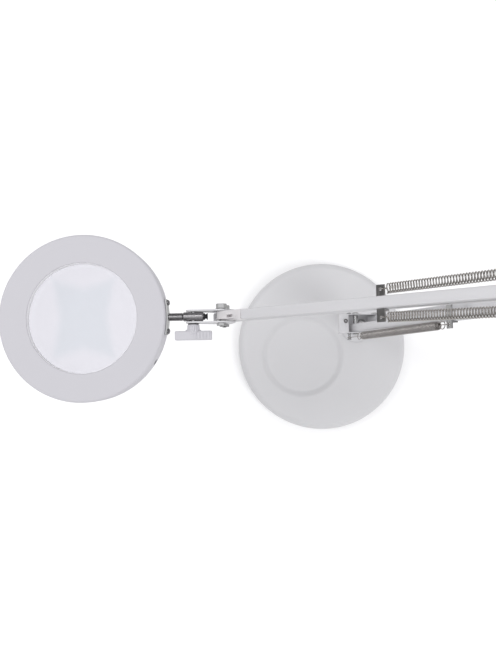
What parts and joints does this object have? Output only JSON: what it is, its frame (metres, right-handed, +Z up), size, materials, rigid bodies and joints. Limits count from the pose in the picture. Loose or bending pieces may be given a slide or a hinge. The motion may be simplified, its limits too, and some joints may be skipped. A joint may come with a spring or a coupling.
{
  "type": "magnifying lamp",
  "caption": "Table magnifying lamp: ring-shaped light head with a round lens on a spring-balanced parallel-link arm and a weighted round base with a small tray.",
  "frame": {"origin": "centre of the round base on its underside, the face that rests on the table", "axes": "+Z up; +X is the direction in which the lower arm leans, so the head reaches out along -X; +Y across the arm"},
  "size_m": [0.5907, 0.225, 0.5176],
  "materials": {
    "painted_frame": "satin off-white powder coat",
    "moulded_white": "fine-textured light grey-white moulding",
    "zinc_steel": "bright zinc plate",
    "nickel_steel": "bright nickel plate",
    "spring_wire": "polished spring wire",
    "dark_steel": "dark burnished steel",
    "cast_iron": "rough casting",
    "foam_rubber": "matt foam rubber",
    "nylon": "natural nylon",
    "lens_glass": "polished clear",
    "opal_plastic": "milky satin",
    "circuit_board": "white solder mask",
    "black_plastic": "satin black"
  },
  "bodies": {
    "base": {"base_cover": "moulded_white", "base_weight": "cast_iron", "base_pad": "foam_rubber", "post_socket": "painted_frame", "socket_nut": "zinc_steel", "swivel_bush": "nylon"},
    "shoulder": {"shoulder_pin": "zinc_steel", "shoulder_bracket": "painted_frame", "bracket_screw": "dark_steel", "shoulder_pivot_front": "zinc_steel", "shoulder_pivot_rear": "zinc_steel", "shoulder_hook_near": "zinc_steel", "shoulder_hook_far": "zinc_steel"},
    "lower_front": {"lower_arm_front": "painted_frame", "lower_spring_anchor": "nickel_steel", "lower_spring_near": "spring_wire", "lower_spring_far": "spring_wire"},
    "lower_rear": {"lower_arm_rear": "painted_frame"},
    "elbow": {"elbow_plate_near": "painted_frame", "elbow_plate_far": "painted_frame", "elbow_pivot_front": "zinc_steel", "elbow_pivot_rear": "zinc_steel", "elbow_pivot_top": "zinc_steel", "elbow_pivot_bottom": "zinc_steel", "elbow_hook_near": "zinc_steel", "elbow_hook_far": "zinc_steel", "top_spacer_near": "nylon", "top_spacer_far": "nylon", "bottom_spacer_near": "nylon", "bottom_spacer_far": "nylon"},
    "upper_top": {"upper_arm_top": "painted_frame", "arm_end_plug": "painted_frame"},
    "upper_bottom": {"upper_arm_bottom": "painted_frame", "upper_spring_anchor": "nickel_steel", "upper_spring_near": "spring_wire", "upper_spring_far": "spring_wire"},
    "wrist": {"fork_plate_near": "painted_frame", "fork_plate_far": "painted_frame", "fork_bolt_upper": "zinc_steel", "fork_bolt_lower": "zinc_steel", "fork_nut_upper": "zinc_steel", "fork_nut_lower": "zinc_steel", "clamp_stud": "zinc_steel"},
    "knob": {"clamp_knob": "moulded_white", "clamp_washer": "dark_steel"},
    "barrel": {"tilt_barrel": "nickel_steel", "barrel_rivet": "nickel_steel"},
    "head": {"head_stem": "nickel_steel", "head_plate": "nickel_steel", "head_screw_near": "dark_steel", "head_screw_far": "dark_steel", "head_shell_top": "moulded_white", "head_shell_bottom": "moulded_white", "led_board": "circuit_board", "diffuser_ring": "opal_plastic", "magnifier_lens": "lens_glass", "lens_ring": "moulded_white", "power_socket": "black_plastic"},
    "switch": {"switch_button": "black_plastic"}
  },
  "joints": [
    {"name": "base_swivel", "type": "hinge", "parent": "base", "child": "shoulder", "pos_m": [0.04646, 0.02337, 0.06], "axis": [0, 0, 1], "continuous": true},
    {"name": "lower_lift", "type": "hinge", "parent": "shoulder", "child": "lower_front", "pos_m": [0.03646, 0.02337, 0.102], "axis": [0, 1, 0], "range_deg": [-45, 20]},
    {"name": "lower_rear_link", "type": "hinge", "parent": "shoulder", "child": "lower_rear", "pos_m": [0.06085, 0.02337, 0.0931], "axis": [0, 1, 0], "range_deg": [-45, 20]},
    {"name": "elbow_level", "type": "hinge", "parent": "lower_front", "child": "elbow", "pos_m": [0.21296, 0.02337, 0.47206], "axis": [0, 1, 0], "range_deg": [-20, 45]},
    {"name": "upper_lift", "type": "hinge", "parent": "elbow", "child": "upper_top", "pos_m": [0.20497, 0.02337, 0.50806], "axis": [0, 1, 0], "range_deg": [-12, 70]},
    {"name": "upper_bottom_link", "type": "hinge", "parent": "elbow", "child": "upper_bottom", "pos_m": [0.20656, 0.02337, 0.48966], "axis": [0, 1, 0], "range_deg": [-12, 70]},
    {"name": "wrist_level", "type": "hinge", "parent": "upper_top", "child": "wrist", "pos_m": [-0.11679, 0.02337, 0.25395], "axis": [0, 1, 0], "range_deg": [-70, 12]},
    {"name": "head_tilt", "type": "hinge", "parent": "wrist", "child": "barrel", "pos_m": [-0.14559, 0.02337, 0.25395], "axis": [0, 1, 0], "range_deg": [-90, 70]},
    {"name": "head_roll", "type": "hinge", "parent": "barrel", "child": "head", "pos_m": [-0.15759, 0.02337, 0.25395], "axis": [1, 0, 0], "range_deg": [-90, 90]},
    {"name": "knob_turn", "type": "hinge", "parent": "wrist", "child": "knob", "pos_m": [-0.14559, 0.02337, 0.25395], "axis": [0, -1, 0], "range_deg": [-20, 270]},
    {"name": "switch_press", "type": "slide", "parent": "head", "child": "switch", "axis": [0, 0, 1], "range_m": [0, 0.001]}
  ],
  "couplings": [
    {"joint": "lower_rear_link", "follows": "lower_lift", "ratio": 1},
    {"joint": "elbow_level", "follows": "lower_lift", "ratio": -1},
    {"joint": "upper_bottom_link", "follows": "upper_lift", "ratio": 1},
    {"joint": "wrist_level", "follows": "upper_lift", "ratio": -1}
  ]
}
